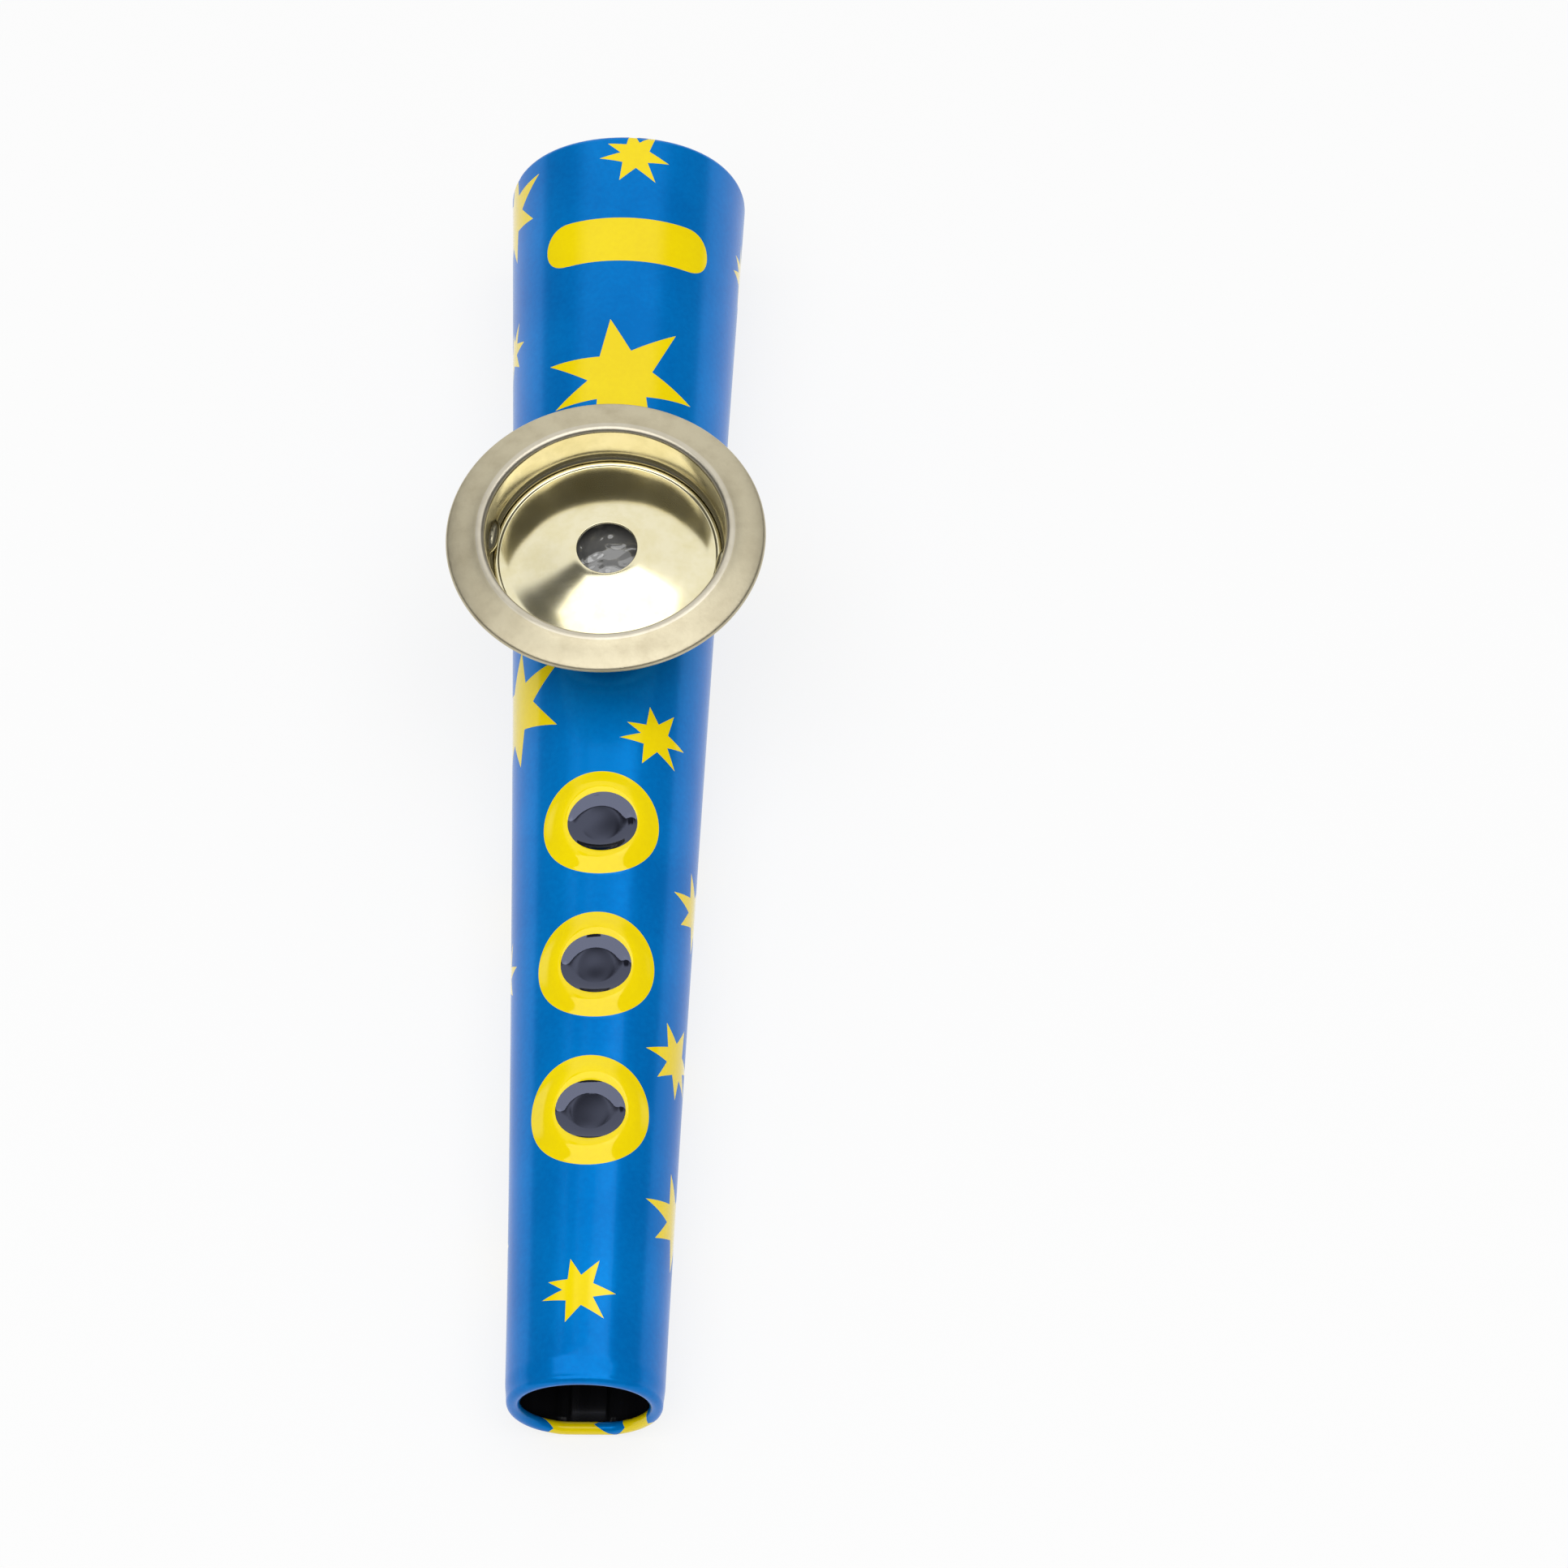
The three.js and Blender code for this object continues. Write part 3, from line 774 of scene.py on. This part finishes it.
def arc(centre, radius, start, stop, steps):
    """Points on an arc from start to stop, both in degrees."""
    turns = np.radians(np.linspace(start, stop, steps + 1))
    return [(centre[0] + radius * math.cos(t), centre[1] + radius * math.sin(t)) for t in turns]


def thickened(path, thickness):
    """A closed outline: the path, and its copy offset to the right-hand side."""
    path = np.array(path)
    ahead = np.roll(path, -1, axis=0)
    behind = np.roll(path, 1, axis=0)
    ahead[-1], behind[0] = path[-1], path[0]
    run = ahead - behind
    run /= np.linalg.norm(run, axis=1, keepdims=True)
    side = path + np.stack([run[:, 1], -run[:, 0]], -1) * thickness
    return np.concatenate([path, side[::-1]])


def lathe(name, outline, materials, steps=192, shape=None, pick=None):
    """Turns a closed outline of (radius, height) about the cup's axis, then shapes its points."""
    outline = np.array(outline)
    turns = np.linspace(0, TAU, steps, endpoint=False)
    radius, height = [np.repeat(outline[:, i], steps) for i in (0, 1)]
    turn = np.tile(turns, len(outline))
    if shape:
        radius, height = shape(radius, height, turn)
    vertices = np.stack([radius * np.cos(turn), CUP_Y + radius * np.sin(turn), height], -1)
    rows = len(outline)
    spots = np.arange(rows * steps).reshape(rows, steps)
    spots[outline[:, 0] == 0] = spots[outline[:, 0] == 0][:, :1]
    faces, ink = [], []
    for i in range(rows):
        following = (i + 1) % rows
        middle = (outline[i] + outline[following]) / 2
        for j in range(steps):
            beside = (j + 1) % steps
            corners = [spots[i, j], spots[i, beside], spots[following, beside], spots[following, j]]
            corners = list(dict.fromkeys(corners))
            if len(corners) > 2:
                faces.append(corners)
                ink.append(pick(*middle) if pick else 0)
    used = np.unique(np.concatenate(faces))
    place = np.zeros(len(vertices), int)
    place[used] = np.arange(len(used))
    return mesh_object(name, vertices[used], [place[corners] for corners in faces], materials, ink)


# The cup: the lip's rounding and where its crest lies, and the burnished band over it
LIP_RADIUS, LIP_AT = 0.59, 12.75
LIP_INNER, LIP_OUTER = 12.2, 13.15
# Its drafted wall, the corner at its foot and the small rounded ledge just above the disc
WALL_LOW, WALL_HIGH = 11.69, 12.16
CORNER_RADIUS = 1.2
LEDGE_RADIUS, LEDGE_REACH, LEDGE_TURN = 0.95, 12.05, 51.5
LEDGE_DROP_SHARE, LEDGE_CLEARANCE = 0.78, 0.12
FLANGE_DROP, EDGE_RADIUS, EDGE_TURN = 1.2, 0.4, 20
FLOOR_RINGS = (8.4, 9.6)
# How steeply the flange falls, in degrees, at radii from the lip's crest out to its rolled edge
FLANGE_RADII = [LIP_AT, 13.0, 13.35, 13.9, 14.5, 15.2, 15.7, 16.0]
FLANGE_SLOPES = [0.0, 12.0, 17.0, 13.5, 12.0, 14.0, 17.0, EDGE_TURN]
STAKE_LENGTH, STAKE_HEIGHT, STAKE_REACH, STAKE_TURN = 3.8, 1.5, 0.9, -8
STAKE_CLEARANCE = 0.15

# The disc, and how steeply it falls, in degrees, at radii from the sound hole to its rim's valley
SOUND_HOLE, DISC_SHEET, DISC_RIM_HEIGHT, DISC_BEAD = 3.05, 0.3, 0.55, 0.33
DISC_SEAT_WIDTH, DISC_VALLEY_DEPTH, DISC_VALLEY_BEADS = 2.0, 0.15, 1.75
DISC_RADII = [3.35, 3.9, 6.0, 8.5, 10.2]
DISC_SLOPES = [2, 9, 12.5, 13.5, 13, 10, 1]
DISC_RIM_TOP = DISC_LOW[2] + DISC_RIM_HEIGHT


def staked(radius, height, turn):
    """Presses the two stakes in through the cup's wall."""
    at = DISC_RIM_TOP + STAKE_CLEARANCE + STAKE_HEIGHT / 2
    beside = (turn - math.radians(STAKE_TURN) + math.pi / 2) % math.pi - math.pi / 2
    off = np.hypot(beside * WALL_LOW / (STAKE_LENGTH / 2), (height - at) / (STAKE_HEIGHT / 2))
    on_wall = (radius > WALL_LOW - 0.3) & (radius < WALL_HIGH + CUP_SHEET + 0.1) & (off < 1)
    dent = STAKE_REACH * np.clip(1 - off ** 2, 0, 1) ** 0.5
    return np.where(on_wall, radius - dent, radius), height


def flange_path(low, steps=44):
    """The flange's top from the lip's crest to its rolled edge: a bead, a shallow groove and a swell."""
    outer = FLANGE_RADIUS - EDGE_RADIUS * (1 - math.sin(math.radians(EDGE_TURN)))
    radii = np.linspace(LIP_AT, outer, steps)
    fall = np.cumsum(np.tan(np.radians(np.interp(radii, FLANGE_RADII, FLANGE_SLOPES))))
    return [(r, LIP_TOP - f) for r, f in zip(radii, fall / fall[-1] * (LIP_TOP - low))]


def cup_finish(radius, height):
    """Which of the cup's finishes a face has: drawn inside, burnished over the lip, else satin."""
    return 1 if radius < LIP_INNER else 2 if radius < LIP_OUTER else 0


def build_cup():
    """The pressed cup: a floor clinched under the neck's flare, a drafted wall, a lip and a wide flange."""
    edge_centre = (FLANGE_RADIUS - EDGE_RADIUS, LIP_TOP - FLANGE_DROP)
    edge = arc(edge_centre, EDGE_RADIUS, 90 - EDGE_TURN, -90, 14)
    head = LIP_TOP - LIP_RADIUS
    ledge_height = DISC_RIM_TOP + LEDGE_CLEARANCE + LEDGE_RADIUS * LEDGE_DROP_SHARE
    ledge = arc((LEDGE_REACH - LEDGE_RADIUS, ledge_height), LEDGE_RADIUS, -LEDGE_TURN, 0, 16)
    wall = [(LEDGE_REACH + (WALL_HIGH - LEDGE_REACH) * t, ledge[-1][1] + (head - ledge[-1][1]) * t)
            for t in np.linspace(0, 1, 48)[1:-1]]
    path = [
        (NECK_OUTER + 0.15, FLOOR_TOP),
        *[(radius, FLOOR_TOP) for radius in FLOOR_RINGS],
        *arc((WALL_LOW - CORNER_RADIUS, FLOOR_TOP + CORNER_RADIUS), CORNER_RADIUS, -90, 0, 10),
        (WALL_LOW, ledge[0][1] - 0.12),
        *ledge,
        *wall,
        *arc((LIP_AT, head), LIP_RADIUS, 180, 90, 12)[:-1],
        *flange_path(edge[0][1]),
        *edge[1:],
    ]
    outline = thickened(path, CUP_SHEET)
    cup = lathe("pressed_cup", outline[::-1], [SATIN, WALL, LIP], 288, staked, cup_finish)
    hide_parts("turret_cup")
    return cup


def build_disc():
    """The disc: a shallow cone up to the sound hole, and a fine rolled rim."""
    rim, soft, rim_foot = DISC_HIGH[0], 0.09, 0.12
    under, top = DISC_LOW[2], DISC_HIGH[2]
    valley = rim - DISC_VALLEY_BEADS * DISC_BEAD
    base = DISC_RIM_TOP - DISC_VALLEY_DEPTH
    radii = np.linspace(SOUND_HOLE + soft, valley, 70)
    slopes = np.interp(radii, [SOUND_HOLE, *DISC_RADII, valley], DISC_SLOPES)
    fall = np.cumsum(np.tan(np.radians(slopes)))
    upper = [(r, top - f) for r, f in zip(radii, (fall - fall[0]) / (fall[-1] - fall[0]) * (top - base))]
    lower = [(r, z - DISC_SHEET) for r, z in upper if r < rim - DISC_SEAT_WIDTH][::-1]
    outline = [
        *arc((SOUND_HOLE + soft, upper[0][1] - soft), soft, 180, 95, 5),
        *upper,
        *arc((rim - DISC_BEAD, DISC_RIM_TOP - DISC_BEAD), DISC_BEAD, 135, -20, 18),
        (rim, under + rim_foot),
        (rim - rim_foot, under),
        (rim - DISC_SEAT_WIDTH, under),
        *lower,
        *arc((SOUND_HOLE + soft, lower[-1][1] + soft), soft, 265, 185, 4),
    ]
    disc = lathe("domed_disc", outline[::-1], [BRIGHT], 288)
    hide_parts("retaining_disc")
    return disc


# How deep the film puckers all over, and its folds: each one's x and y, the way it runs in degrees,
# its half length, its half width and its height
PUCKER = 0.03
FOLDS = [
    (-1.6, 0.5, 28, 1.2, 0.5, 0.2),
    (-0.3, -0.8, -50, 0.8, 0.4, 0.16),
    (0.1, 3.1, 4, 0.5, 0.2, 0.06),
]
GASKET_BORE, GASKET_CORNER = 8.35, 0.12


def build_film():
    """The film: thin, and slack enough to pucker a little between the gasket and the disc."""
    reach, top = FILM_HIGH[0], FILM_HIGH[2]
    thick = top - FILM_LOW[2]
    radii = np.concatenate([np.linspace(0.0, 4.0, 56), np.linspace(4.2, reach, 24)])
    outline = [(r, top) for r in radii[::-1]] + [(r, top - thick) for r in radii]

    def puckered(radius, height, turn):
        x, y = radius * np.cos(turn), radius * np.sin(turn)
        fade = np.clip(1 - (radius / reach) ** 4, 0, 1)
        waves = np.sin(1.3 * x + 0.7 * y + 0.6) + 0.6 * np.sin(2.1 * y - 1.2 * x) + 0.4 * np.sin(3.1 * x)
        lift = PUCKER * waves
        for fold_x, fold_y, run, half_long, half_wide, fold_height in FOLDS:
            along, across = math.cos(math.radians(run)), math.sin(math.radians(run))
            far = ((x - fold_x) * along + (y - fold_y) * across) / half_long
            beside = ((y - fold_y) * along - (x - fold_x) * across) / half_wide
            lift = lift + fold_height * np.exp(-far ** 4 - beside ** 2)
        return radius, height + fade * lift

    film_piece = lathe("slack_film", outline[::-1], [FILM], 96, puckered)
    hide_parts("membrane")
    return film_piece


def build_gasket():
    """The flat card ring that the film lies on, its corners a little worn."""
    inner, outer = GASKET_BORE, GASKET_HIGH[0]
    low, high = GASKET_LOW[2], GASKET_HIGH[2]
    soft = GASKET_CORNER
    corners = [(inner + soft, low + soft, 180, 270), (outer - soft, low + soft, 270, 360),
               (outer - soft, high - soft, 0, 90), (inner + soft, high - soft, 90, 180)]
    outline = [p for r, z, start, stop in corners for p in arc((r, z), soft, start, stop, 4)]
    ring = lathe("card_gasket", outline, [CARD], 96)
    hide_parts("membrane_gasket")
    return ring


body_pieces = [build_tube(), build_cup(), build_disc(), build_gasket()]
for piece in body_pieces:
    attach(piece, "kazoo_body")
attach(build_film(), "buzzing_film")


# The stage: a pale floor, a white room and soft light

PAPER, PAPER_GLOW = (0.9, 0.9, 0.9, 1), 0.8
WHITE = (1, 1, 1, 1)
FLOOR_REACH = 6000
ROOM_LIGHT = 0.47
# In a gloss the room is white on one side, less the cuts, and all round it near the floor. Each part
# is a direction, the cosine to it at which the white starts and the one at which it is full
SWEEP = ((0, 1, 0), 0.05, 0.3)
HORIZON = ((0, 0, 1), 0.2, 0.05)
# What cuts into the white: a dim ceiling, dim sides to the right and the left, and a small dark card
CUTS = [
    ((0, 0, 1), 0.955, 0.905),
    ((1, 0, 0), 0.58, 0.34),
    ((-1, 0, 0), 0.65, 0.4),
    ((-0.34, 0.29, 0.89), 0.998, 0.989),
]
DIM = 0.1
LAMP_PLACE, LAMP_AIM = (0.0, -0.165, 0.9), (0.0, -0.165, 0)
LAMP_SIZE, LAMP_TURN, LAMP_POWER = (1.2, 0.84), 13, 6.2


def seen_directly(tree):
    """1 for the rays that show a surface as it is: from the camera, in a gloss or through glass."""
    rays = add(tree, "ShaderNodeLightPath")
    glossy = add(tree, "ShaderNodeMath", {"operation": "MAXIMUM"},
                 {0: (rays, "Is Camera Ray"), 1: (rays, "Is Glossy Ray")})
    return add(tree, "ShaderNodeMath", {"operation": "MAXIMUM"},
               {0: (glossy, 0), 1: (rays, "Is Transmission Ray")})


def build_stage():
    """A wide floor of white paper that keeps the kazoo's shadow and shows near white."""
    material, tree = new_material("white_paper_floor")
    paper = add(tree, "ShaderNodeBsdfDiffuse", {"Color": PAPER})
    glow = add(tree, "ShaderNodeEmission", {"Color": WHITE, "Strength": 1.0})
    seen = add(tree, "ShaderNodeMath", {"operation": "MULTIPLY", 1: PAPER_GLOW},
               {0: (seen_directly(tree), 0)})
    mixed = add(tree, "ShaderNodeMixShader", (), {0: (seen, 0), 1: (paper, 0), 2: (glow, 0)})
    finish_material(tree, mixed)
    corners = [(x * FLOOR_REACH, y * FLOOR_REACH, 0) for x, y in ((-1, -1), (1, -1), (1, 1), (-1, 1))]
    floor = mesh_object("floor", corners, [(0, 1, 2, 3)], [material])


def facing(tree, where, direction, start, full):
    """How far a ray points a given way: 0 at a cosine of start, 1 at a cosine of full."""
    way = Vector(direction).normalized()
    cosine = add(tree, "ShaderNodeVectorMath", {"operation": "DOT_PRODUCT", 1: way},
                 {0: (where, "Generated")})
    return add(tree, "ShaderNodeMapRange",
               {"interpolation_type": "SMOOTHSTEP", "From Min": start, "From Max": full},
               {"Value": (cosine, "Value")})


def build_world():
    """An even white room light, which in a gloss is a white paper sweep with dim parts cut into it."""
    world = bpy.data.worlds.new("white_room")
    bpy.context.scene.world = world
    world.use_nodes = True
    tree = world.node_tree
    tree.nodes.clear()
    where = add(tree, "ShaderNodeTexCoord")
    sweep = facing(tree, where, *SWEEP)
    for cut in CUTS:
        edge = facing(tree, where, *cut)
        sweep = add(tree, "ShaderNodeMath", {"operation": "MULTIPLY"}, {0: (sweep, 0), 1: (edge, 0)})
    horizon = facing(tree, where, *HORIZON)
    paper = add(tree, "ShaderNodeMath", {"operation": "MAXIMUM"}, {0: (sweep, 0), 1: (horizon, 0)})
    level = add(tree, "ShaderNodeMapRange", {"To Min": DIM, "To Max": 1.0}, {"Value": (paper, 0)})
    room = add(tree, "ShaderNodeBackground", {"Color": WHITE, "Strength": ROOM_LIGHT})
    rays = add(tree, "ShaderNodeLightPath")
    plain = add(tree, "ShaderNodeMath", {"operation": "MAXIMUM"},
                {0: (level, 0), 1: (rays, "Is Camera Ray")})
    shown = add(tree, "ShaderNodeBackground", {"Color": WHITE}, {"Strength": (plain, 0)})
    mixed = add(tree, "ShaderNodeMixShader", (),
                {0: (seen_directly(tree), 0), 1: (room, 0), 2: (shown, 0)})
    add(tree, "ShaderNodeOutputWorld", links={"Surface": (mixed, 0)})


def build_softbox():
    """One broad rectangular lamp straight above, turned a little."""
    data = bpy.data.lights.new("top_softbox", "AREA")
    data.shape = "RECTANGLE"
    data.size, data.size_y = LAMP_SIZE
    data.energy = LAMP_POWER
    lamp = bpy.data.objects.new("top_softbox", data)
    bpy.context.collection.objects.link(lamp)
    lamp.location = LAMP_PLACE
    down = (Vector(LAMP_AIM) - Vector(LAMP_PLACE)).to_track_quat("-Z", "Y")
    lamp.rotation_euler = (down @ Quaternion((0, 0, 1), math.radians(LAMP_TURN))).to_euler()


build_stage()
build_world()
build_softbox()

bpy.context.scene.view_settings.view_transform = "Standard"
